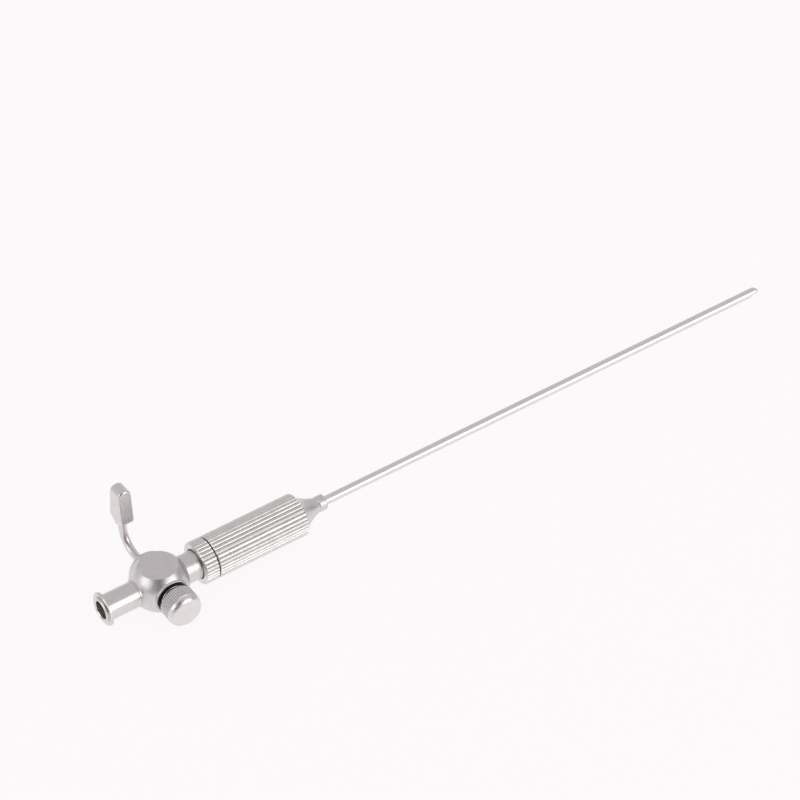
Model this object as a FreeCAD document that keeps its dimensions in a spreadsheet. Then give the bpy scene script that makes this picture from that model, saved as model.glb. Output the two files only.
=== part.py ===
import FreeCAD, Part

import math
import os
import re

import Sketcher

# Veress needle with a spring-loaded blunt stylet and a lever stopcock.
# The origin is the centre of the inlet's mouth. X runs along the needle to its tip,
# Y runs along the stopcock's plug to the lever, and Z is up from the ball's flat.

Vector = FreeCAD.Vector

# Driving dimensions in millimetres, angles in degrees.
SIZES = {
    # inlet with its 6 per cent socket
    "mouth_radius": 2.15,
    "socket_slope": 0.03,
    "socket_depth": 7.5,
    "mouth_chamfer": 0.2,
    "mouth_edge": 0.15,
    "flange_radius": 3.95,
    "flange_setback": 0.45,
    "flange_width": 0.55,
    "flange_edge": 0.15,
    "inlet_radius": 3.0,
    "gas_radius": 1.2,
    # stopcock ball
    "ball_centre": 14.9,
    "ball_radius": 6.7,
    "flat_reach": 5.1,
    "flat_edge": 0.15,
    "seat_radius": 4.25,
    "seat_reach": 5.75,
    "seat_edge": 0.12,
    "spring_pocket_radius": 3.9,
    "spring_pocket_depth": 1.0,
    "inlet_floor": 5.3,
    "collar_radius": 3.2,
    "collar_reach": 6.25,
    # tapered plug
    "plug_radius": 2.5,
    "plug_slope": 0.05,
    "plug_gap": 0.03,
    "plug_end_inset": 0.1,
    "boss_gap": 0.15,
    "boss_radius": 2.9,
    "boss_length": 1.35,
    "boss_edge": 0.5,
    "tail_radius": 1.9,
    "stud_radius": 1.5,
    "stud_edge": 0.25,
    "stud_end_gap": 0.3,
    # lever
    "rod_radius": 0.95,
    "rod_socket": 1.25,
    "rod_straight": 4.0,
    "rod_bend": 4.6,
    "lever_lean": 2.0,
    "paddle_low": 8.2,
    "paddle_tail": 5.6,
    "paddle_shoulder": 8.6,
    "paddle_side_top": 16.15,
    "paddle_arch": 1.72,
    "paddle_width": 3.3,
    "paddle_tail_width": 2.2,
    "paddle_front_low": 2.85,
    "paddle_front_top": 2.4,
    "paddle_back_low": 2.4,
    "paddle_back_top": 1.25,
    "paddle_socket": 2.0,
    "paddle_edge": 0.5,
    # plug washer, spring and cap nut
    "washer_gap": 0.05,
    "washer_width": 0.5,
    "washer_radius": 3.6,
    "washer_bore_gap": 0.05,
    "cap_gap": 1.2,
    "cap_length": 4.9,
    "cap_radius": 4.1,
    "cap_chamfer": 0.25,
    "cap_knurl_length": 3.25,
    "cap_step": 0.08,
    "cap_shoulder_curve": 1.45,
    "cap_face_radius": 3.15,
    "cap_face_rise": 0.25,
    "cap_recess_radius": 3.4,
    "cap_recess_depth": 2.25,
    "cap_thread_length": 1.4,
    "cap_knurl_count": 56,
    "cap_knurl_depth": 0.2,
    "cap_knurl_width": 0.42,
    "plug_coil_radius": 2.95,
    "plug_wire_radius": 0.25,
    "plug_coil_turns": 3,
    # neck and stem
    "neck_radius": 3.35,
    "neck_visible": 3.5,
    "neck_edge": 0.3,
    "neck_spigot_radius": 2.4,
    "neck_spigot": 1.3,
    "stem_radius": 2.0,
    "stem_bore": 1.0,
    "stem_end_radius": 1.6,
    "tube_socket": 6.0,
    "stop_gap": 0.02,
    # lock ring and its seals
    "grip_radius": 5.0,
    "ring_width": 3.2,
    "ring_chamfer": 0.25,
    "ring_gap": 0.25,
    "recess_depth": 6.2,
    "web_width": 1.0,
    "stem_gap": 0.05,
    "seal_gap": 0.03,
    "seal_section": 0.42,
    "seal_pocket_gap": 0.05,
    "gland_width": 0.5,
    "gland_radius": 3.35,
    "spigot_lip": 0.4,
    "ring_thread_radius": 4.2,
    "seam_width": 0.35,
    "seam_depth": 0.3,
    # grip sleeve
    "sleeve_length": 23.1,
    "sleeve_back_chamfer": 0.15,
    "sleeve_front_chamfer": 0.35,
    "chamber_radius": 3.6,
    "thread_runout": 0.2,
    "flute_count": 32,
    "flute_depth": 0.3,
    "flute_width": 0.9,
    # spring and its seats
    "coil_radius": 2.75,
    "wire_radius": 0.25,
    "coil_turns": 8,
    "thrust_width": 0.5,
    "thrust_radius": 3.3,
    "face_gap": 0.02,
    "spring_collar_width": 1.4,
    "spring_collar_radius": 3.3,
    "spring_collar_gap": 0.4,
    "screw_radius": 0.4,
    "screw_inset": 0.2,
    # front hub and guide bush
    "hub_thread_radius": 4.0,
    "hub_thread_length": 4.0,
    "flare_radius": 4.3,
    "flare_length": 4.9,
    "flare_curve": 12.0,
    "flare_end_radius": 1.7,
    "hub_length": 6.85,
    "ferrule_radius": 1.85,
    "ferrule_edge": 0.2,
    "bush_radius": 2.2,
    "bush_length": 3.0,
    "passage_gap": 0.15,
    "bush_gap": 0.05,
    # cannula and stylet
    "cannula_radius": 1.05,
    "cannula_length": 120.0,
    "cannula_root_radius": 0.95,
    "cannula_root": 4.7,
    "bevel_length": 2.6,
    "stylet_radius": 0.7,
    "stylet_gap": 0.08,
    "stylet_bore": 0.5,
    "tip_reach": 1.0,
    "tip_spigot": 0.7,
    "port_setback": 0.35,
    "port_length": 1.2,
    "port_width": 0.7,
}

# Places along the needle, measured from the inlet's mouth.
SPOT_FACE = "ball_centre + sqrt(ball_radius^2 - neck_radius^2)"
RING_BACK = f"{SPOT_FACE} + neck_visible"
SLEEVE_BACK = f"{RING_BACK} + ring_width + seam_width"
SLEEVE_FRONT = f"{SLEEVE_BACK} + sleeve_length"
HUB_BACK = f"{SLEEVE_FRONT} - hub_thread_length"
FERRULE_FRONT = f"{SLEEVE_FRONT} + hub_length"
CANNULA_TIP = f"{FERRULE_FRONT} + cannula_length"
STYLET_TIP = f"{CANNULA_TIP} + tip_reach"

# Places inside the lock ring, measured from its rear face.
WEB_FRONT = "recess_depth + web_width"
SEAL_FRONT = f"{WEB_FRONT} + 2 * seal_section"
GLAND_FRONT = f"{SEAL_FRONT} + gland_width"
SPIGOT_FRONT = f"{GLAND_FRONT} + spigot_lip"

# The stem's collar stands just behind the hub, and the spring fills what is left.
COLLAR_FRONT = f"{HUB_BACK} - spring_collar_gap"
COLLAR_BACK = f"{COLLAR_FRONT} - spring_collar_width"
THRUST_BACK = f"{COLLAR_BACK} - face_gap - thrust_width"
SPRING_BACK = f"{RING_BACK} + {GLAND_FRONT}"
TUBE_BACK = f"{COLLAR_FRONT} - tube_socket"
TIP_BACK = f"{STYLET_TIP} - stylet_radius - tip_spigot"

# Places along the plug, measured outwards from the ball's centre.
POCKET_FLOOR = "seat_reach - spring_pocket_depth"
CAP_BACK = "seat_reach + cap_gap"
WASHER_BACK = f"{POCKET_FLOOR} + washer_gap"
WASHER_FRONT = f"{WASHER_BACK} + washer_width"
CAP_FLOOR = f"{CAP_BACK} + cap_recess_depth"
STUD_END = f"{CAP_FLOOR} + cap_thread_length - stud_end_gap"
BOSS_BACK = "seat_reach + boss_gap"
BOSS_END = f"{BOSS_BACK} + boss_length"
ROD_BACK = f"{BOSS_END} - rod_socket"

# The rod's path: straight out of the boss, a bend, then up with a slight lean away from the ball.
LEAN = "lever_lean * 1 deg"
BEND_END_OUT = f"rod_straight + rod_bend * cos({LEAN})"
BEND_END_UP = f"rod_bend - rod_bend * sin({LEAN})"
ROD_END_UP = "paddle_low + paddle_socket"
ROD_END_OUT = f"{BEND_END_OUT} + ({ROD_END_UP} - ({BEND_END_UP})) * tan({LEAN})"

# How a body's own X, Y and Z lie in the needle's frame.
ALONG = FreeCAD.Rotation()
ACROSS = FreeCAD.Rotation(Vector(1, 1, 1), 120)
TO_CAP = FreeCAD.Rotation(Vector(0, 0, 1), -90)

doc = FreeCAD.newDocument("veress_needle")
sheet = doc.addObject("Spreadsheet::Sheet", "size")
for row, (alias, value) in enumerate(SIZES.items(), start=1):
    sheet.set(f"A{row}", alias)
    sheet.set(f"B{row}", str(value))
    sheet.setAlias(f"B{row}", alias)
doc.recompute()

pieces = []
cuts = []


def linked(expression):
    """The expression with each size's name pointing at its cell on the sheet."""
    return re.sub(r"[a-z_]+", lambda word: ("size." if word[0] in SIZES else "") + word[0], expression)


def number(expression):
    """What an expression on the sizes comes to."""
    return float(sheet.evalExpression(linked(expression)))


def bind(thing, field, expression):
    """Ties one property to the sheet."""
    thing.setExpression(field, linked(expression))


def place(thing, turn, x="0", y="0", z="0"):
    """Turns a piece into the needle's frame and ties its place to the sheet."""
    thing.Placement = FreeCAD.Placement(Vector(), turn)
    for axis, expression in zip("xyz", (x, y, z)):
        bind(thing, f"Placement.Base.{axis}", expression)


def new_body(label, turn, x="0", y="0", z="0"):
    """An empty body that becomes one piece of the needle."""
    body = doc.addObject("PartDesign::Body", label)
    body.Label = label
    place(body, turn, x, y, z)
    pieces.append(body)
    return body


def datum(body, role):
    """One of the body's own origin planes or axes."""
    return next(feature for feature in body.Origin.OriginFeatures if feature.Role == role)


def new_sketch(body, name, role):
    """An empty sketch on one of the body's origin planes."""
    sketch = body.newObject("Sketcher::SketchObject", name)
    sketch.AttachmentSupport = [(datum(body, role), "")]
    sketch.MapMode = "FlatFace"
    return sketch


def dimension(sketch, expression, *constraint):
    """A sketch dimension tied to the sheet."""
    index = sketch.addConstraint(Sketcher.Constraint(*constraint, number(expression)))
    bind(sketch, f"Constraints[{index}]", expression)


def arc_between(start, stop, radius, side):
    """The shorter arc from start to stop, with its centre on the left (1) or the right (-1)."""
    chord = stop - start
    left = Vector(-chord.y, chord.x, 0) / chord.Length
    rise = math.sqrt(radius**2 - (chord.Length / 2) ** 2)
    centre = (start + stop) / 2 + left * rise * side
    first, last = (start, stop) if side > 0 else (stop, start)
    angles = [math.atan2(spot.y - centre.y, spot.x - centre.x) for spot in (first, last)]
    return Part.ArcOfCircle(Part.Circle(centre, Vector(0, 0, 1), radius), *angles)


def draw(sketch, corners, closed=True):
    """Draws an outline through the corners, each a pair of expressions.

    A corner with a radius and a side after it is reached by an arc.
    """
    spots = [Vector(number(corner[0]), number(corner[1]), 0) for corner in corners]
    base = sketch.GeometryCount
    ends = []
    for index in range(0 if closed else 1, len(corners)):
        start, stop, bend = spots[index - 1], spots[index], corners[index][2:]
        if bend:
            sketch.addGeometry(arc_between(start, stop, number(bend[0]), bend[1]), False)
            dimension(sketch, bend[0], "Radius", base + len(ends))
        else:
            sketch.addGeometry(Part.LineSegment(start, stop), False)
        ends.append((2, 1) if bend and bend[1] < 0 else (1, 2))
    for index, corner in enumerate(corners):
        edge = index if closed else max(index - 1, 0)
        tip = ends[edge][0 if not closed and index == 0 else 1]
        dimension(sketch, corner[0], "DistanceX", -1, 1, base + edge, tip)
        dimension(sketch, corner[1], "DistanceY", -1, 1, base + edge, tip)
    for edge in range(len(ends) if closed else len(ends) - 1):
        following = (edge + 1) % len(ends)
        sketch.addConstraint(
            Sketcher.Constraint(
                "Coincident", base + edge, ends[edge][1], base + following, ends[following][0]
            )
        )


def draw_circle(sketch, x, y, radius):
    """Draws a circle with its centre and radius tied to the sheet."""
    circle = Part.Circle(Vector(number(x), number(y), 0), Vector(0, 0, 1), number(radius))
    edge = sketch.addGeometry(circle, False)
    dimension(sketch, x, "DistanceX", -1, 1, edge, 3)
    dimension(sketch, y, "DistanceY", -1, 1, edge, 3)
    dimension(sketch, radius, "Radius", edge)


def turned(label, corners, turn=ALONG, x="0", y="0", z="0"):
    """A piece turned about its own X axis from pairs of axial place and radius."""
    body = new_body(label, turn, x, y, z)
    section = new_sketch(body, f"{label}_section", "XY_Plane")
    draw(section, corners)
    revolution = body.newObject("PartDesign::Revolution", f"{label}_turned")
    revolution.Profile = section
    revolution.ReferenceAxis = (section, ["H_Axis"])
    revolution.Angle = 360
    doc.recompute()
    return body


def ring(label, length, bore, radius, turn=ALONG, x="0", y="0", z="0"):
    """A plain washer or bush."""
    corners = [("0", bore), ("0", radius), (length, radius), (length, bore)]
    return turned(label, corners, turn, x, y, z)


def pocket(body, sketch, name, length=None, reverse=False):
    """Cuts a sketch away, right through both ways unless a length is given."""
    base = body.Tip
    feature = body.newObject("PartDesign::Pocket", name)
    feature.Profile = sketch
    if length is None:
        feature.Type = "ThroughAll"
        feature.SideType = "Symmetric"
    else:
        feature.Reversed = reverse
        bind(feature, "Length", length)
    doc.recompute()
    cuts.append((base, feature))
    return feature


def is_at(low, high, reach):
    """Whether an edge that runs from low to high lies flat at this reach on either side."""
    return high - low < 0.001 and abs(abs(low) - number(reach)) < 0.001


def rounded(body, base, name, radius, chosen):
    """Rounds the edges of a feature that are chosen by their bounding box."""
    edges = enumerate(base.Shape.Edges, start=1)
    feature = body.newObject("PartDesign::Fillet", name)
    feature.Base = (base, [f"Edge{index}" for index, edge in edges if chosen(edge.BoundBox)])
    bind(feature, "Radius", radius)
    doc.recompute()
    cuts.append((base, feature))


def around(body, feature, name, count):
    """Repeats a feature about the body's X axis."""
    pattern = body.newObject("PartDesign::PolarPattern", name)
    pattern.Originals = [feature]
    pattern.Axis = (datum(body, "X_Axis"), [""])
    pattern.Angle = 360
    bind(pattern, "Occurrences", count)
    body.Tip = pattern
    doc.recompute()


def fluted(body, radius, depth, width, count, length=None):
    """Mills straight grooves into a turned piece's rim, from its rear face, that leave round ribs."""
    name = f"{body.Label}_flute"
    sketch = new_sketch(body, f"{name}_section", "YZ_Plane")
    half = f"{width} / 2"
    top = f"{radius} + {depth}"
    rib = f"({width}^2 / 4 + {depth}^2) / {depth} / 2"
    draw(
        sketch,
        [
            ("0", f"{radius} - {depth}", rib, -1),
            (half, radius, rib, -1),
            (half, top),
            (f"-({half})", top),
            (f"-({half})", radius),
        ],
    )
    feature = pocket(body, sketch, name, length, reverse=True)
    around(body, feature, f"{name}_pattern", count)


def coiled(label, length, coil, wire, turns, turn=ALONG, x="0", y="0", z="0"):
    """A compression spring along its own X axis."""
    body = new_body(label, turn, x, y, z)
    section = new_sketch(body, f"{label}_section", "XY_Plane")
    draw_circle(section, wire, coil, wire)
    helix = body.newObject("PartDesign::AdditiveHelix", f"{label}_coil")
    helix.Profile = section
    helix.ReferenceAxis = (section, ["H_Axis"])
    helix.Mode = "height-turns-angle"
    bind(helix, "Height", f"{length} - 2 * {wire}")
    bind(helix, "Turns", turns)
    doc.recompute()
    return body


# Inlet: a turned tube with a lock flange and a tapered socket, brazed into the ball.
turned(
    "luer_inlet",
    [
        ("0", "mouth_radius + mouth_chamfer"),
        ("0", "inlet_radius - mouth_edge"),
        ("mouth_edge", "inlet_radius"),
        ("flange_setback", "inlet_radius"),
        ("flange_setback", "flange_radius - flange_edge"),
        ("flange_setback + flange_edge", "flange_radius"),
        ("flange_setback + flange_width", "flange_radius"),
        ("flange_setback + flange_width", "inlet_radius"),
        ("ball_centre - inlet_floor", "inlet_radius"),
        ("ball_centre - inlet_floor", "gas_radius"),
        ("socket_depth", "gas_radius"),
        ("socket_depth", "mouth_radius - socket_slope * socket_depth"),
        ("mouth_chamfer", "mouth_radius"),
    ],
)

# Stopcock ball: turned with its inlet collar and neck seat, then turned across for the two
# plug seats, milled flat above and below, and reamed for the tapered plug. The cap's side
# has a pocket for the plug spring.
ball = turned(
    "stopcock_body",
    [
        ("-collar_reach", "inlet_radius"),
        ("-collar_reach", "collar_radius"),
        ("-sqrt(ball_radius^2 - collar_radius^2)", "collar_radius"),
        ("sqrt(ball_radius^2 - neck_radius^2)", "neck_radius", "ball_radius", -1),
        ("sqrt(ball_radius^2 - neck_radius^2)", "neck_spigot_radius"),
        ("sqrt(ball_radius^2 - neck_radius^2) - neck_spigot", "neck_spigot_radius"),
        ("sqrt(ball_radius^2 - neck_radius^2) - neck_spigot", "gas_radius"),
        ("-inlet_floor", "gas_radius"),
        ("-inlet_floor", "inlet_radius"),
    ],
    x="ball_centre",
)
seats = new_sketch(ball, "plug_seats_section", "XY_Plane")
for way in ("", "-"):
    root, rim = f"{way}seat_reach / 2", f"{way}seat_reach"
    draw(seats, [("0", root), ("seat_radius", root), ("seat_radius", rim), ("0", rim)])
plug_seats = ball.newObject("PartDesign::Revolution", "plug_seats")
plug_seats.Profile = seats
plug_seats.ReferenceAxis = (seats, ["V_Axis"])
plug_seats.Angle = 360
doc.recompute()
flats = new_sketch(ball, "ball_flats_section", "YZ_Plane")
for out, up in (("seat_reach", "flat_reach"), ("2 * ball_radius", "2 * ball_radius")):
    draw(flats, [(f"-{out}", f"-{up}"), (out, f"-{up}"), (out, up), (f"-{out}", up)])
milled = pocket(ball, flats, "ball_flats")
rounded(ball, milled, "seat_rims", "seat_edge", lambda box: is_at(box.YMin, box.YMax, "seat_reach"))
rounded(ball, ball.Tip, "flat_rims", "flat_edge", lambda box: is_at(box.ZMin, box.ZMax, "flat_reach"))
taper = new_sketch(ball, "plug_bore_section", "XY_Plane")
draw(
    taper,
    [
        ("0", "-ball_radius"),
        ("spring_pocket_radius", "-ball_radius"),
        ("spring_pocket_radius", f"-({POCKET_FLOOR})"),
        (f"plug_radius + plug_gap - plug_slope * ({POCKET_FLOOR})", f"-({POCKET_FLOOR})"),
        ("plug_radius + plug_gap + plug_slope * ball_radius", "ball_radius"),
        ("0", "ball_radius"),
    ],
)
plug_bore = ball.newObject("PartDesign::Groove", "plug_bore")
cuts.append((ball.Tip.BaseFeature, plug_bore))
plug_bore.Profile = taper
plug_bore.ReferenceAxis = (taper, ["V_Axis"])
plug_bore.Angle = 360
doc.recompute()

# Plug: a taper ground into the ball, with a boss for the lever and a stud for the cap nut.
plug = turned(
    "plug",
    [
        (f"-({STUD_END})", "0"),
        (f"-({STUD_END})", "stud_radius - stud_edge"),
        (f"stud_edge - ({STUD_END})", "stud_radius"),
        (f"-({WASHER_FRONT})", "stud_radius"),
        (f"-({WASHER_FRONT})", "tail_radius"),
        (f"plug_end_inset - ({POCKET_FLOOR})", "tail_radius"),
        (f"plug_end_inset - ({POCKET_FLOOR})", f"plug_radius - plug_slope * ({POCKET_FLOOR})"),
        (BOSS_BACK, f"plug_radius + plug_slope * ({BOSS_BACK})"),
        (BOSS_BACK, "boss_radius"),
        (f"{BOSS_END} - boss_edge", "boss_radius"),
        (BOSS_END, "boss_radius - boss_edge", "boss_edge * 1.05", -1),
        (BOSS_END, "rod_radius"),
        (ROD_BACK, "rod_radius"),
        (ROD_BACK, "0"),
    ],
    ACROSS,
    x="ball_centre",
)
port = new_sketch(plug, "plug_port_section", "XZ_Plane")
draw_circle(port, "0", "0", "gas_radius")
pocket(plug, port, "plug_port")

# Slip washer, plug spring and the knurled cap nut on the stud.
ring(
    "plug_washer",
    "washer_width",
    "tail_radius + washer_bore_gap",
    "washer_radius",
    TO_CAP,
    x="ball_centre",
    y=f"-({WASHER_BACK})",
)
coiled(
    "plug_spring",
    f"({CAP_FLOOR} - ({WASHER_FRONT}))",
    "plug_coil_radius",
    "plug_wire_radius",
    "plug_coil_turns",
    TO_CAP,
    x="ball_centre",
    y=f"-({WASHER_FRONT})",
)
cap = turned(
    "cap_nut",
    [
        ("0", "cap_recess_radius"),
        ("0", "cap_radius - cap_chamfer"),
        ("cap_chamfer", "cap_radius"),
        ("cap_knurl_length", "cap_radius"),
        ("cap_knurl_length + cap_step", "cap_radius - cap_step"),
        ("cap_length - cap_face_rise", "cap_face_radius", "cap_shoulder_curve", -1),
        ("cap_length", "0", "(cap_face_radius^2 + cap_face_rise^2) / cap_face_rise / 2", -1),
        ("cap_recess_depth + cap_thread_length", "0"),
        ("cap_recess_depth + cap_thread_length", "stud_radius"),
        ("cap_recess_depth", "stud_radius"),
        ("cap_recess_depth", "cap_recess_radius"),
    ],
    TO_CAP,
    x="ball_centre",
    y=f"-({CAP_BACK})",
)
fluted(cap, "cap_radius", "cap_knurl_depth", "cap_knurl_width", "cap_knurl_count", "cap_knurl_length")

# Lever rod: a bent wire brazed into the plug's boss.
rod = new_body("lever_rod", ACROSS, x="ball_centre", y=ROD_BACK)
route = new_sketch(rod, "lever_rod_path", "XY_Plane")
draw(
    route,
    [
        ("0", "0"),
        ("rod_straight", "0"),
        (BEND_END_OUT, BEND_END_UP, "rod_bend", 1),
        (ROD_END_OUT, ROD_END_UP),
    ],
    closed=False,
)
rod_end = new_sketch(rod, "lever_rod_section", "YZ_Plane")
draw_circle(rod_end, "0", "0", "rod_radius")
pipe = rod.newObject("PartDesign::AdditivePipe", "lever_rod_bent")
pipe.Profile = rod_end
pipe.Spine = (route, [])
doc.recompute()

# Lever paddle: a thick thumb piece with an arched top, deeper at its foot, whose tail runs
# into the rod.
paddle = new_body("lever_paddle", ACROSS, x="ball_centre", y=ROD_BACK)
side = new_sketch(paddle, "paddle_side", "XY_Plane")
TOP = "paddle_side_top + paddle_arch"
TAIL_OUT = f"{ROD_END_OUT} + (paddle_tail - ({ROD_END_UP})) * tan({LEAN}) + rod_radius"
draw(
    side,
    [
        (f"{BEND_END_OUT} - paddle_front_low", "paddle_low"),
        (TAIL_OUT, "paddle_tail"),
        (f"{BEND_END_OUT} + paddle_back_low", "paddle_shoulder", "4 * rod_radius", -1),
        (f"{BEND_END_OUT} + paddle_back_top", TOP),
        (f"{BEND_END_OUT} - paddle_front_top", TOP),
    ],
)
blank = paddle.newObject("PartDesign::Pad", "paddle_blank")
blank.Profile = side
blank.SideType = "Symmetric"
bind(blank, "Length", "paddle_width")
doc.recompute()
front = new_sketch(paddle, "paddle_front", "YZ_Plane")
HALF = "paddle_width / 2"
TAIL_HALF = "paddle_tail_width / 2"
draw(
    front,
    [
        ("paddle_side_top", f"-({HALF})", "paddle_arch", -1),
        ("paddle_shoulder", f"-({HALF})"),
        ("paddle_tail - 1", f"-({TAIL_HALF})"),
        ("paddle_tail - 1", TAIL_HALF),
        ("paddle_shoulder", HALF),
        ("paddle_side_top", HALF),
    ],
)
draw(
    front,
    [
        (f"{TOP} + 1", "-paddle_width"),
        ("paddle_tail - 2", "-paddle_width"),
        ("paddle_tail - 2", "paddle_width"),
        (f"{TOP} + 1", "paddle_width"),
    ],
)
arched = pocket(paddle, front, "paddle_arched")
rounded(paddle, arched, "paddle_softened", "paddle_edge", lambda box: True)
SOCKET_DROP = f"({ROD_END_UP} - paddle_tail + 2 * rod_radius)"
socket = new_sketch(paddle, "rod_socket_section", "XY_Plane")
draw(
    socket,
    [
        (ROD_END_OUT, ROD_END_UP),
        (f"{ROD_END_OUT} - {SOCKET_DROP} * sin({LEAN})", f"{ROD_END_UP} - {SOCKET_DROP} * cos({LEAN})"),
        (
            f"{ROD_END_OUT} - {SOCKET_DROP} * sin({LEAN}) + rod_radius * cos({LEAN})",
            f"{ROD_END_UP} - {SOCKET_DROP} * cos({LEAN}) - rod_radius * sin({LEAN})",
        ),
        (
            f"{ROD_END_OUT} + rod_radius * cos({LEAN})",
            f"{ROD_END_UP} - rod_radius * sin({LEAN})",
        ),
    ],
)
rod_hole = paddle.newObject("PartDesign::Groove", "rod_socket")
rod_hole.Profile = socket
rod_hole.ReferenceAxis = (socket, ["Edge2"])
rod_hole.Angle = 360
doc.recompute()
cuts.append((rod_hole.BaseFeature, rod_hole))

# Neck and stem: the neck slides in the lock ring, and the stem carries the spring's collar.
NECK_BACK = f"{SPOT_FACE} - neck_spigot"
NECK_FRONT = "neck_spigot + neck_visible + recess_depth - stop_gap"
turned(
    "neck_stem",
    [
        ("0", "stem_bore"),
        ("0", "neck_spigot_radius"),
        ("neck_spigot", "neck_spigot_radius"),
        ("neck_spigot", "neck_radius"),
        (f"{NECK_FRONT} - neck_edge", "neck_radius"),
        (NECK_FRONT, "neck_radius - neck_edge"),
        (NECK_FRONT, "stem_radius"),
        (f"{COLLAR_BACK} - ({NECK_BACK})", "stem_radius"),
        (f"{COLLAR_BACK} - ({NECK_BACK})", "stem_end_radius"),
        (f"{COLLAR_FRONT} - ({NECK_BACK})", "stem_end_radius"),
        (f"{COLLAR_FRONT} - ({NECK_BACK})", "stylet_radius"),
        (f"{TUBE_BACK} - ({NECK_BACK})", "stylet_radius"),
        (f"{TUBE_BACK} - ({NECK_BACK})", "stem_bore"),
    ],
    x=NECK_BACK,
)

# Lock ring: closes the grip's rear end. Its web is the stylet's forward stop.
lock_ring = turned(
    "lock_ring",
    [
        ("0", "neck_radius + ring_gap"),
        ("0", "grip_radius - ring_chamfer"),
        ("ring_chamfer", "grip_radius"),
        ("ring_width", "grip_radius"),
        ("ring_width", "ring_thread_radius"),
        (SPIGOT_FRONT, "ring_thread_radius"),
        (SPIGOT_FRONT, "gland_radius"),
        (SEAL_FRONT, "gland_radius"),
        (SEAL_FRONT, "stem_radius + seal_gap + 2 * seal_section + seal_pocket_gap"),
        (WEB_FRONT, "stem_radius + seal_gap + 2 * seal_section + seal_pocket_gap"),
        (WEB_FRONT, "stem_radius + stem_gap"),
        ("recess_depth", "stem_radius + stem_gap"),
        ("recess_depth", "neck_radius + ring_gap"),
    ],
    x=RING_BACK,
)
fluted(lock_ring, "grip_radius", "flute_depth", "flute_width", "flute_count")

# Stem seal in the ring's pocket, held by the gland washer that is also the spring's rear seat.
seal = doc.addObject("Part::Torus", "stem_seal")
seal.Label = "stem_seal"
bind(seal, "Radius1", "stem_radius + seal_gap + seal_section")
bind(seal, "Radius2", "seal_section")
place(seal, FreeCAD.Rotation(Vector(0, 1, 0), 90), x=f"{RING_BACK} + {WEB_FRONT} + seal_section")
pieces.append(seal)
ring("gland_washer", "gland_width", "stem_radius + stem_gap", "gland_radius", x=f"{RING_BACK} + {SEAL_FRONT}")

# Joint seal in the seam between the lock ring and the grip.
ring(
    "joint_seal",
    "seam_width",
    "ring_thread_radius",
    "grip_radius - seam_depth",
    x=f"{RING_BACK} + ring_width",
)

# Grip sleeve: a fluted tube that holds the spring, threaded at both ends.
sleeve = turned(
    "grip_sleeve",
    [
        ("0", "ring_thread_radius"),
        ("0", "grip_radius - sleeve_back_chamfer"),
        ("sleeve_back_chamfer", "grip_radius"),
        ("sleeve_length - sleeve_front_chamfer", "grip_radius"),
        ("sleeve_length", "grip_radius - sleeve_front_chamfer"),
        ("sleeve_length", "hub_thread_radius"),
        ("sleeve_length - hub_thread_length", "hub_thread_radius"),
        ("sleeve_length - hub_thread_length", "chamber_radius"),
        (f"{SPIGOT_FRONT} - ring_width - seam_width + thread_runout", "chamber_radius"),
        (f"{SPIGOT_FRONT} - ring_width - seam_width + thread_runout", "ring_thread_radius"),
    ],
    x=SLEEVE_BACK,
)
fluted(sleeve, "grip_radius", "flute_depth", "flute_width", "flute_count")

# Main spring, with its slip washer and the collar that is locked on the stem.
coiled(
    "main_spring",
    f"({THRUST_BACK} - ({SPRING_BACK}))",
    "coil_radius",
    "wire_radius",
    "coil_turns",
    x=SPRING_BACK,
)
ring("thrust_washer", "thrust_width", "stem_radius + stem_gap", "thrust_radius", x=THRUST_BACK)
collar = ring(
    "spring_collar", "spring_collar_width", "stem_end_radius", "spring_collar_radius", x=COLLAR_BACK
)
screw_hole = new_sketch(collar, "screw_hole_section", "XZ_Plane")
draw_circle(screw_hole, "spring_collar_width / 2", "0", "screw_radius")
pocket(collar, screw_hole, "screw_hole", "2 * spring_collar_radius")
screw = doc.addObject("Part::Cylinder", "collar_screw")
screw.Label = "collar_screw"
bind(screw, "Radius", "screw_radius")
bind(screw, "Height", "spring_collar_radius - screw_inset - stem_end_radius - face_gap")
place(
    screw,
    FreeCAD.Rotation(Vector(1, 0, 0), -90),
    x=f"{COLLAR_BACK} + spring_collar_width / 2",
    y="stem_end_radius + face_gap",
)
pieces.append(screw)

# Front hub: a flared cone with a ferrule, screwed into the grip.
turned(
    "front_hub",
    [
        ("0", "bush_radius"),
        ("0", "hub_thread_radius"),
        ("hub_thread_length", "hub_thread_radius"),
        ("hub_thread_length", "flare_radius"),
        ("hub_thread_length + flare_length", "flare_end_radius", "flare_curve", 1),
        ("hub_thread_length + flare_length + ferrule_edge", "ferrule_radius"),
        ("hub_thread_length + hub_length - ferrule_edge", "ferrule_radius"),
        ("hub_thread_length + hub_length", "ferrule_radius - ferrule_edge"),
        ("hub_thread_length + hub_length", "cannula_radius"),
        ("hub_thread_length + hub_length - cannula_root", "cannula_root_radius"),
        ("hub_thread_length + hub_length - cannula_root", "stylet_radius + passage_gap"),
        ("bush_length", "stylet_radius + passage_gap"),
        ("bush_length", "bush_radius"),
    ],
    x=HUB_BACK,
)
ring("guide_bush", "bush_length", "stylet_radius + bush_gap", "bush_radius", x=HUB_BACK)

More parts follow.
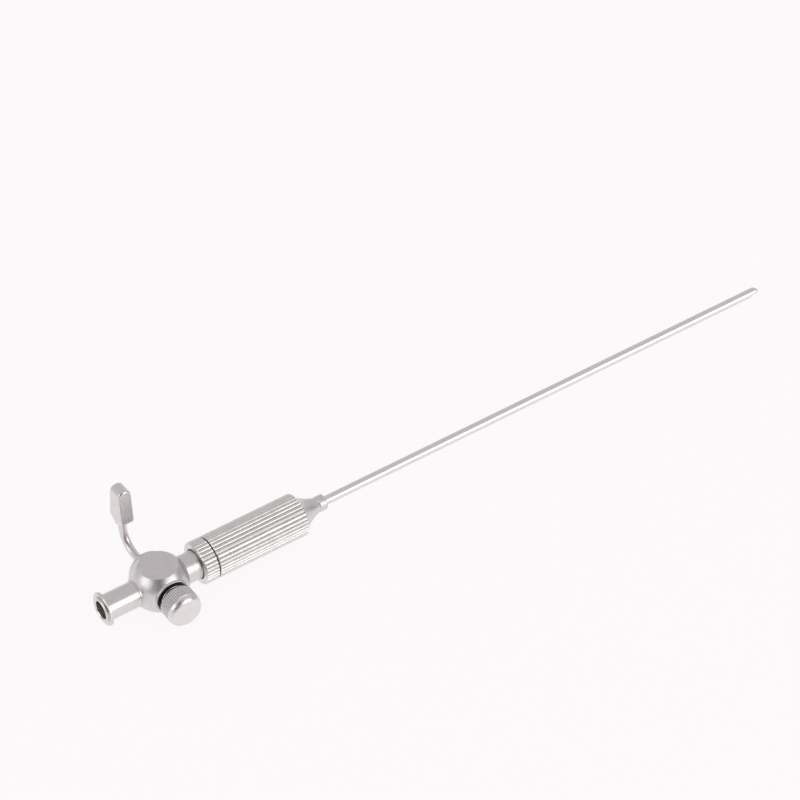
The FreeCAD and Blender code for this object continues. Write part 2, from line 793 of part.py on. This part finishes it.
# Cannula: a thin tube with an oblique bevel, its root ground to a slight taper that seats in the hub.
cannula = turned(
    "cannula",
    [
        ("0", "stylet_radius + stylet_gap"),
        ("0", "cannula_root_radius"),
        ("cannula_root", "cannula_radius"),
        ("cannula_root + cannula_length", "cannula_radius"),
        ("cannula_root + cannula_length", "stylet_radius + stylet_gap"),
    ],
    x=f"{FERRULE_FRONT} - cannula_root",
)
bevel = new_sketch(cannula, "bevel_section", "XZ_Plane")
draw(
    bevel,
    [
        ("cannula_root + cannula_length - 1.5 * bevel_length", "-2 * cannula_radius"),
        ("cannula_root + cannula_length + 0.5 * bevel_length", "-2 * cannula_radius"),
        ("cannula_root + cannula_length + 0.5 * bevel_length", "2 * cannula_radius"),
    ],
)
pocket(cannula, bevel, "bevel")

# Stylet: a gas tube with a side port, closed by a round blunt tip.
tube = ring(
    "stylet_tube",
    f"({STYLET_TIP} - stylet_radius - ({TUBE_BACK}))",
    "stylet_bore",
    "stylet_radius",
    x=TUBE_BACK,
)
PORT_FRONT = f"{TIP_BACK} - ({TUBE_BACK}) - port_setback"
PORT_HALF = "port_width / 2"
side_port = new_sketch(tube, "side_port_section", "XY_Plane")
draw(
    side_port,
    [
        (f"{PORT_FRONT} - port_length", PORT_HALF),
        (f"{PORT_FRONT} - port_length", f"-({PORT_HALF})", "port_width * 0.55", 1),
        (PORT_FRONT, f"-({PORT_HALF})"),
        (PORT_FRONT, PORT_HALF, "port_width * 0.55", 1),
    ],
)
pocket(tube, side_port, "side_port", "2 * stylet_radius")
turned(
    "stylet_tip",
    [
        ("0", "0"),
        ("0", "stylet_bore"),
        ("tip_spigot", "stylet_bore"),
        ("tip_spigot", "stylet_radius"),
        ("tip_spigot + stylet_radius", "0", "stylet_radius", -1),
    ],
    x=TIP_BACK,
)

doc.recompute()
failed = [thing.Name for thing in doc.Objects if {"Invalid", "Error"} & set(thing.State)]
failed += [piece.Label for piece in pieces if piece.Shape.isNull() or not piece.Shape.isValid()]
failed += [cut.Name for base, cut in cuts if cut.Shape.Volume >= base.Shape.Volume]
if failed:
    raise RuntimeError(f"these did not build: {failed}")

os.makedirs("parts", exist_ok=True)
for piece in pieces:
    piece.Shape.exportStep(f"parts/{piece.Label}.step")
    print(piece.Label, len(piece.Shape.Solids), round(piece.Shape.Volume, 3))
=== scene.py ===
import math

import bmesh
import bpy
from mathutils import Euler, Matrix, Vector


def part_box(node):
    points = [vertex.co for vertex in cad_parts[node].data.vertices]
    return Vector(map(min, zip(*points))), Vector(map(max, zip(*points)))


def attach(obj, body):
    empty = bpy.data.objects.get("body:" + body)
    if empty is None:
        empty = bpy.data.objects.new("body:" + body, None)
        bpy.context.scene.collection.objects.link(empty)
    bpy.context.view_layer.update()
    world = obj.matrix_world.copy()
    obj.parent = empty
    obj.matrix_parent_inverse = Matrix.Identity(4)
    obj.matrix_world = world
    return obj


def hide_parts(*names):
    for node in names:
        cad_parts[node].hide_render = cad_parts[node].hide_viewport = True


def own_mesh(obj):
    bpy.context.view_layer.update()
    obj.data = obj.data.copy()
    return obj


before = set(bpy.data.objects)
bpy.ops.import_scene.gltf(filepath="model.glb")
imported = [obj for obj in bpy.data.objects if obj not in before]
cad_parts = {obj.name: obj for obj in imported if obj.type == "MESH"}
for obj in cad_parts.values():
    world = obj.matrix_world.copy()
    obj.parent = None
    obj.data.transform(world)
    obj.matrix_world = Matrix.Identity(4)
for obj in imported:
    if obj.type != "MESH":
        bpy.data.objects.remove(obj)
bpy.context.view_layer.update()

# Gas inlet. A female lock fitting, turned from stainless bar and brazed into the ball. It was
# brushed satin in the lathe, so a highlight runs along it as a band with fairly sharp edges,
# and the lathe's fine rings still show.
mm = 0.001


def linear(hex_colour):
    """The linear colour of an sRGB hex value."""
    shares = [int(hex_colour[place : place + 2], 16) / 255 for place in (1, 3, 5)]
    curved = [s / 12.92 if s <= 0.04045 else ((s + 0.055) / 1.055) ** 2.4 for s in shares]
    return (*curved, 1)


def add_node(tree, kind, settings=None, **inputs):
    """Adds a node. Each input is a value or another node's output, by name or as i and number."""
    node = tree.nodes.new("ShaderNode" + kind)
    for setting, value in (settings or {}).items():
        setattr(node, setting, value)
    for name, value in inputs.items():
        socket = node.inputs[int(name[1:]) if name[1:].isdigit() else name.replace("_", " ")]
        if isinstance(value, bpy.types.NodeSocket):
            tree.links.new(value, socket)
        else:
            socket.default_value = value
    return node


def steel(
    name, light, dark, roughness, grit, grit_depth, ring_pitch, ring_depth, axis="X", wear_and_groove_shade=None
):
    """A steel finish: fine grit over a tool's rings about one axis, sizes in millimetres.

    Real grit and rings are 0.1 mm and finer. All are drawn at 0.12 mm or more, because finer
    ones vanish in the picture. The wear and groove shade says where ribs stand round the axis,
    how far out a groove is still dull and a rib is rubbed bright, and the darker colour that
    paints shade into the grooves.
    """
    material = bpy.data.materials.new(name)
    material.use_nodes = True
    tree = material.node_tree
    tree.nodes.clear()
    place = add_node(tree, "TexCoord").outputs["Object"]
    # Handling and blasting leave patches a few millimetres across, a little darker and duller.
    patch_size = 2.2
    dark_patch, light_patch = 0.3, 0.7
    duller, glossier = 1.2, 0.85
    patches = add_node(
        tree, "TexNoise", Vector=place, Scale=1 / (patch_size * mm), Detail=4.0, Roughness=0.6
    )
    tone = add_node(
        tree,
        "Mix",
        {"data_type": "RGBA"},
        i0=patches.outputs["Fac"],
        i6=linear(dark),
        i7=linear(light),
    )
    dullness = add_node(
        tree,
        "MapRange",
        Value=patches.outputs["Fac"],
        From_Min=dark_patch,
        From_Max=light_patch,
        To_Min=roughness * duller,
        To_Max=roughness * glossier,
    )
    colour, gloss = tone.outputs[2], dullness.outputs[0]
    if wear_and_groove_shade:
        # A groove is found by its distance from the axis, inside the ribbed length alone.
        groove_roughness = 1.3
        across_axis = [1.0] * 3
        across_axis["XYZ".index(axis)] = 0
        middle = [size * mm for size in wear_and_groove_shade["middle"]]
        out = add_node(tree, "VectorMath", {"operation": "SUBTRACT"}, i0=place, i1=middle)
        along = add_node(tree, "SeparateXYZ", i0=out.outputs[0])
        ribbed = add_node(
            tree,
            "Math",
            {"operation": "COMPARE"},
            i0=along.outputs[axis],
            i1=0.0,
            i2=wear_and_groove_shade["half_length"] * mm,
        )
        out = add_node(
            tree, "VectorMath", {"operation": "MULTIPLY"}, i0=out.outputs[0], i1=across_axis
        )
        radius = add_node(tree, "VectorMath", {"operation": "LENGTH"}, i0=out.outputs[0])
        low = add_node(
            tree,
            "MapRange",
            Value=radius.outputs["Value"],
            From_Min=wear_and_groove_shade["rib_radius"] * mm,
            From_Max=wear_and_groove_shade["groove_radius"] * mm,
        )
        share = add_node(
            tree, "Math", {"operation": "MULTIPLY"}, i0=low.outputs[0], i1=ribbed.outputs[0]
        )
        # Painted shade: the grooves' colour is darkened here. Their extra roughness below is the
        # dull blasting.
        colour = add_node(
            tree,
            "Mix",
            {"data_type": "RGBA"},
            i0=share.outputs[0],
            i6=colour,
            i7=linear(wear_and_groove_shade["groove_shade_colour"]),
        ).outputs[2]
        sheen = add_node(
            tree, "MapRange", Value=share.outputs[0], To_Min=1.0, To_Max=groove_roughness
        )
        gloss = add_node(
            tree, "Math", {"operation": "MULTIPLY"}, i0=gloss, i1=sheen.outputs[0]
        ).outputs[0]
    beads = add_node(
        tree, "TexNoise", Vector=place, Scale=1 / (grit * mm), Detail=3.0, Roughness=0.6
    )
    blasted = add_node(tree, "Bump", Height=beads.outputs["Fac"], Distance=grit_depth * mm)
    # Along the axis the noise runs at the ring pitch, and across it hardly at all.
    drawn_out = 0.015
    squeeze = [drawn_out] * 3
    squeeze["XYZ".index(axis)] = 1
    run = add_node(tree, "VectorMath", {"operation": "MULTIPLY"}, i0=place, i1=squeeze)
    rings = add_node(
        tree,
        "TexNoise",
        Vector=run.outputs[0],
        Scale=1 / (ring_pitch * mm),
        Detail=3.0,
        Roughness=0.7,
    )
    turned = add_node(
        tree,
        "Bump",
        Height=rings.outputs["Fac"],
        Distance=ring_depth * mm,
        Normal=blasted.outputs["Normal"],
    )
    shader = add_node(
        tree,
        "BsdfPrincipled",
        Metallic=1.0,
        Base_Color=colour,
        Roughness=gloss,
        Normal=turned.outputs["Normal"],
    )
    add_node(tree, "OutputMaterial", Surface=shader.outputs["BSDF"])
    return material


def dress(finish, *names):
    """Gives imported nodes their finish."""
    for name in names:
        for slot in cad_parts[name].material_slots:
            slot.material = finish


# The abrasive's real scratches are about 0.02 mm apart.
satin_steel = steel(
    "satin_turned_stainless_steel",
    light="#E5E3E1",
    dark="#D4D1CF",
    roughness=0.29,
    grit=0.15,
    grit_depth=0.002,
    ring_pitch=0.12,
    ring_depth=0.0015,
)
dress(satin_steel, "luer_inlet")

# Stopcock ball. Turned from stainless bar with its collar and neck seat, milled flat above and
# below, and turned again across for the plug's two seats. Then it was blasted with glass beads
# of about 0.1 mm, whose dimples spread every highlight into a soft sheen.
blasted_steel = steel(
    "bead_blasted_stainless_steel",
    light="#E3E0E0",
    dark="#D1CECE",
    roughness=0.37,
    grit=0.14,
    grit_depth=0.003,
    ring_pitch=0.12,
    ring_depth=0.0015,
)
dress(blasted_steel, "stopcock_body")

# Plug. A stainless taper ground to fit the ball, with a rounded boss that holds the lever. The
# lathe turned it about its own axis across the needle, so its rings and its sheen run round that.
cross_steel = steel(
    "satin_cross_turned_stainless_steel",
    light="#E6E3E3",
    dark="#D6D3D3",
    roughness=0.33,
    grit=0.16,
    grit_depth=0.002,
    ring_pitch=0.12,
    ring_depth=0.001,
    axis="Y",
)
dress(cross_steel, "plug")

# Plug spring. Wound from bright drawn wire, and held by the cap nut so that it keeps the plug
# seated. Drawing leaves the wire smooth and shiny, with faint streaks.
drawn_wire = steel(
    "bright_drawn_spring_wire",
    light="#D0D0D0",
    dark="#A9A8A8",
    roughness=0.17,
    grit=0.25,
    grit_depth=0.002,
    ring_pitch=0.2,
    ring_depth=0.001,
)
dress(drawn_wire, "plug_spring")


def polymer(name, light, dark, roughness, grain, grain_depth, sheen_ior):
    """A turned or moulded polymer or rubber, with a fine grain in millimetres."""
    material = bpy.data.materials.new(name)
    material.use_nodes = True
    tree = material.node_tree
    tree.nodes.clear()
    place = add_node(tree, "TexCoord").outputs["Object"]
    patch_size = 1.5
    patches = add_node(tree, "TexNoise", Vector=place, Scale=1 / (patch_size * mm), Detail=3.0)
    tone = add_node(
        tree,
        "Mix",
        {"data_type": "RGBA"},
        i0=patches.outputs["Fac"],
        i6=linear(dark),
        i7=linear(light),
    )
    texture = add_node(tree, "TexNoise", Vector=place, Scale=1 / (grain * mm), Detail=4.0)
    relief = add_node(tree, "Bump", Height=texture.outputs["Fac"], Distance=grain_depth * mm)
    shader = add_node(
        tree,
        "BsdfPrincipled",
        Base_Color=tone.outputs[2],
        Roughness=roughness,
        IOR=sheen_ior,
        Normal=relief.outputs["Normal"],
    )
    add_node(tree, "OutputMaterial", Surface=shader.outputs["BSDF"])
    return material


# Slip washer under the plug spring, turned from PTFE filled with carbon, which makes it black
# and lets it slide dry. It is waxy, with a faint grain, which is drawn at 0.2 mm, because a
# finer one vanishes in the picture.
slip_polymer = polymer(
    "turned_carbon_filled_ptfe",
    light="#3A3839",
    dark="#2C2A2B",
    roughness=0.42,
    grain=0.2,
    grain_depth=0.004,
    sheen_ior=1.38,
)
dress(slip_polymer, "plug_washer")

# Cap nut. Turned and straight-knurled round its rear half, screwed on the plug's stud. Its
# rounded face was buffed after blasting, which makes it a little brighter than the ball. The
# knurl's grooves have kept the dull blasting, and their darker colour is painted shade.
knurled_steel = steel(
    "buffed_and_knurled_stainless_steel",
    light="#ECE9E9",
    dark="#DEDADA",
    roughness=0.35,
    grit=0.16,
    grit_depth=0.002,
    ring_pitch=0.12,
    ring_depth=0.001,
    axis="Y",
    wear_and_groove_shade={
        "middle": (14.9, -8.6, 0),
        "half_length": 1.6,
        "groove_radius": 3.92,
        "rib_radius": 4.07,
        "groove_shade_colour": "#94908F",
    },
)
dress(knurled_steel, "cap_nut")

# Lever. A bent rod brazed into the boss, with a thick thumb paddle brazed on it. The paddle
# was milled from bar, so its faces carry the cutter's fine marks under the blasting.
milled_steel = steel(
    "satin_milled_stainless_steel",
    light="#E6E3E3",
    dark="#D6D2D2",
    roughness=0.32,
    grit=0.16,
    grit_depth=0.002,
    ring_pitch=0.14,
    ring_depth=0.0015,
    axis="Z",
)
dress(milled_steel, "lever_rod", "lever_paddle")

# Neck and stem. One piece turned from stainless bar and brazed into the ball. It is ground
# where it slides in the lock ring, which gives it an even grey sheen.
ground_steel = steel(
    "ground_stainless_steel",
    light="#E3E1E0",
    dark="#D3D0CF",
    roughness=0.36,
    grit=0.2,
    grit_depth=0.002,
    ring_pitch=0.12,
    ring_depth=0.002,
)
dress(ground_steel, "neck_stem")

# Lock ring and grip sleeve. Stainless tubes that are screwed together, with straight grooves
# milled along them for the fingers. The grooves keep the blasting, and their darker colour is
# painted shade. Handling has polished the ribs between them bright.
fluted_steel = steel(
    "fluted_stainless_steel",
    light="#E7E6E4",
    dark="#D5D3D1",
    roughness=0.32,
    grit=0.15,
    grit_depth=0.002,
    ring_pitch=0.12,
    ring_depth=0.001,
    wear_and_groove_shade={
        "middle": (37.5, 0, 0),
        "half_length": 13.2,
        "groove_radius": 4.72,
        "rib_radius": 4.86,
        "groove_shade_colour": "#CBC8C6",
    },
)
dress(fluted_steel, "lock_ring", "grip_sleeve")

# Seals. A ring round the stem and a flat ring in the grip's joint, of moulded black rubber,
# which is dull and takes hardly any highlight. Its grain is drawn at 0.1 mm, because a finer
# one vanishes in the picture.
seal_rubber = polymer(
    "moulded_black_rubber",
    light="#2B2A2A",
    dark="#1D1C1C",
    roughness=0.6,
    grain=0.1,
    grain_depth=0.006,
    sheen_ior=1.5,
)
dress(seal_rubber, "stem_seal", "joint_seal")

# Main spring, wound from the same bright wire. It stands between the gland washer and a slip
# washer inside the grip, and closes up as the stylet is pushed back. Here it is drawn as a coil
# of its own, attached to the handle.
wire_radius = 0.25 * mm
coil_turns = 8
steps_per_turn = 48
wire_sides = 14
rear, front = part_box("main_spring")
coil_radius = front[2] - wire_radius
coil_rise = (front[0] - rear[0] - 2 * wire_radius) / (coil_turns * steps_per_turn)
shell = bmesh.new()
loops = []
for step in range(coil_turns * steps_per_turn + 1):
    turn = 2 * math.pi * step / steps_per_turn
    loop = []
    for side in range(wire_sides):
        lean = 2 * math.pi * side / wire_sides
        arm = coil_radius + wire_radius * math.cos(lean)
        along = rear[0] + wire_radius + coil_rise * step + wire_radius * math.sin(lean)
        loop.append(shell.verts.new((along, arm * math.cos(turn), arm * math.sin(turn))))
    loops.append(loop)
for before, after in zip(loops, loops[1:]):
    for side in range(wire_sides):
        following = (side + 1) % wire_sides
        face = shell.faces.new((before[side], before[following], after[following], after[side]))
        face.smooth = True
shell.faces.new(loops[0][::-1])
shell.faces.new(loops[-1])
bmesh.ops.recalc_face_normals(shell, faces=shell.faces)
coil_mesh = bpy.data.meshes.new("main_spring_coil")
shell.to_mesh(coil_mesh)
shell.free()
coil_mesh.materials.append(drawn_wire)
coil = bpy.data.objects.new("main_spring_coil", coil_mesh)
bpy.context.scene.collection.objects.link(coil)
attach(coil, "handle")
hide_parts("main_spring")
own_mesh(coil)

# Inside the grip. The slip washer and guide bush are turned from the black polymer. The gland
# washer and stem collar are turned from stainless bar, and a grub screw locks the collar.
dress(slip_polymer, "thrust_washer", "guide_bush")
dress(ground_steel, "gland_washer", "spring_collar", "collar_screw")

# Front hub. A trumpet with a ferrule, turned from stainless bar and blasted like the ball. It
# is screwed into the grip sleeve, and the cannula is soldered into its ferrule.
dress(blasted_steel, "front_hub")

# Cannula and stylet. Drawn stainless tubes and the stylet's rounded end, centreless ground all
# the way along. That leaves faint rings and a bright, narrow line of light along the needle.
ground_tube = steel(
    "centreless_ground_stainless_tube",
    light="#EAE9E8",
    dark="#DAD9D7",
    roughness=0.24,
    grit=0.3,
    grit_depth=0.002,
    ring_pitch=0.3,
    ring_depth=0.0015,
)
dress(ground_tube, "cannula", "stylet_tube", "stylet_tip")

# Floor. A wide sheet of matt white paper on the table, under the ball's lower flat. To the eye,
# and in the metal, most of its light is its own white, as on a light table, so that only a faint
# shadow is left on it.
floor_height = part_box("stopcock_body")[0][2]
half_width = 3.0
corners = [
    (x * half_width, y * half_width, floor_height) for x, y in ((-1, -1), (1, -1), (1, 1), (-1, 1))
]
sheet = bpy.data.meshes.new("floor")
sheet.from_pydata(corners, [], [(0, 1, 2, 3)])
floor = bpy.data.objects.new("floor", sheet)
bpy.context.scene.collection.objects.link(floor)
own_light = 0.92
paper = bpy.data.materials.new("matt_white_paper")
paper.use_nodes = True
tree = paper.node_tree
tree.nodes.clear()
path = add_node(tree, "LightPath")
seen = add_node(
    tree,
    "Math",
    {"operation": "ADD"},
    i0=path.outputs["Is Camera Ray"],
    i1=path.outputs["Is Glossy Ray"],
)
seen = add_node(
    tree,
    "Math",
    {"operation": "ADD", "use_clamp": True},
    i0=seen.outputs[0],
    i1=path.outputs["Is Transmission Ray"],
)
share = add_node(tree, "Math", {"operation": "MULTIPLY"}, i0=seen.outputs[0], i1=own_light)
matt = add_node(tree, "BsdfDiffuse", Color=linear("#FCFAFB"))
glow = add_node(tree, "Emission", Color=linear("#FFFCFD"), Strength=1.0)
blend = add_node(tree, "MixShader", i0=share.outputs[0], i1=matt.outputs[0], i2=glow.outputs[0])
add_node(tree, "OutputMaterial", Surface=blend.outputs[0])
sheet.materials.append(paper)

# Studio. A pale room, dark round the camera's place and low down on the cap nut's side, which
# gives the metal something dark to reflect. Each dark fades in between the first and second of
# its two limits, as shares of a whole direction.
camera_place = Vector((-0.2711, -0.5419, 0.6177))
aim = Vector((0.03, 0, 0))
camera_dark = (0.8, 0.97)
low_dark = (0.55, 0.1)
near_dark = (0.2, -0.4)
room = bpy.data.worlds.new("studio")
bpy.context.scene.world = room
room.use_nodes = True
tree = room.node_tree
tree.nodes.clear()
way = add_node(tree, "TexCoord").outputs["Generated"]
facing = add_node(
    tree, "VectorMath", {"operation": "DOT_PRODUCT"}, i0=way, i1=(camera_place - aim).normalized()
)
parts = add_node(tree, "SeparateXYZ", i0=way)
shade, low, near = [
    add_node(
        tree,
        "MapRange",
        {"interpolation_type": "SMOOTHSTEP"},
        Value=amount,
        From_Min=start,
        From_Max=end,
    )
    for amount, (start, end) in (
        (facing.outputs["Value"], camera_dark),
        (parts.outputs["Z"], low_dark),
        (parts.outputs["Y"], near_dark),
    )
]
skirt = add_node(tree, "Math", {"operation": "MULTIPLY"}, i0=low.outputs[0], i1=near.outputs[0])
dim = add_node(tree, "Math", {"operation": "MAXIMUM"}, i0=shade.outputs[0], i1=skirt.outputs[0])
colour = add_node(
    tree,
    "Mix",
    {"data_type": "RGBA"},
    i0=dim.outputs[0],
    i6=linear("#D6D2D4"),
    i7=linear("#4E464B"),
)
light = add_node(tree, "Background", Color=colour.outputs[2], Strength=1.0)
add_node(tree, "OutputWorld", Surface=light.outputs[0])


def softbox(name, direction, distance, width, height, radiance):
    """A soft lamp that faces the needle, as bright to the eye as its radiance."""
    lamp = bpy.data.lights.new(name, "AREA")
    lamp.shape = "RECTANGLE"
    lamp.size = width
    lamp.size_y = height
    lamp.energy = radiance * math.pi * width * height
    holder = bpy.data.objects.new(name, lamp)
    holder.location = aim + Vector(direction).normalized() * distance
    holder.rotation_euler = (holder.location - aim).to_track_quat("Z", "Y").to_euler()
    bpy.context.scene.collection.objects.link(holder)


softbox(
    "softbox_front",
    direction=(0.39, -0.84, 0.38),
    distance=1.2,
    width=0.95,
    height=0.85,
    radiance=1.75,
)
softbox(
    "softbox_left",
    direction=(-0.87, 0.0, 0.45),
    distance=1.2,
    width=0.97,
    height=0.76,
    radiance=1.08,
)

# Camera. A long lens from behind the inlet, high on the cap nut's side, so that the needle
# points away to the upper right. The turns are in degrees.
camera_turns = (47.123, 1.455, -34.188)
camera_data = bpy.data.cameras.new("camera")
camera_data.lens = 180
camera_data.sensor_width = 36
camera_data.clip_end = 20
camera = bpy.data.objects.new("camera", camera_data)
camera.location = camera_place
camera.rotation_euler = Euler([math.radians(turn) for turn in camera_turns])
bpy.context.scene.collection.objects.link(camera)
bpy.context.scene.camera = camera
bpy.context.scene.view_settings.view_transform = "Standard"
